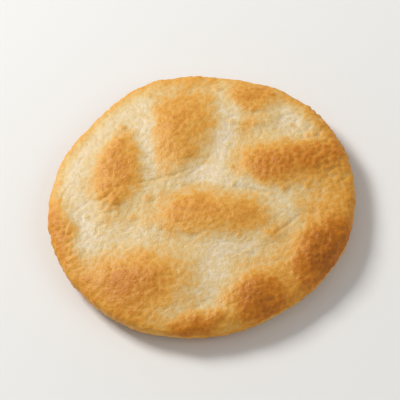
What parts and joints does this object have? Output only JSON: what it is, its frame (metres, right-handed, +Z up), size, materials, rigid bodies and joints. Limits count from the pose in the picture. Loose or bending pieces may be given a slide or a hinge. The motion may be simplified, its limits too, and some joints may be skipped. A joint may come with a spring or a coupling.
{
  "type": "japanese rice cracker",
  "caption": "Round puffed rice cracker lying flat, with golden-brown toasted domes, paler webs between them and a soft pillow rim.",
  "frame": {"origin": "on the surface that the cracker rests on, under the middle of its box", "axes": "+Z up out of the shown toasted face, +X to the right across that face, +Y away across it"},
  "size_m": [0.0652, 0.0652, 0.0087],
  "materials": {
    "toasted_rice": "dry puffed rice crust, cream to golden brown, with a faint gloss of oil"
  },
  "bodies": {
    "root": {"rice_cracker": "toasted_rice"}
  },
  "joints": []
}
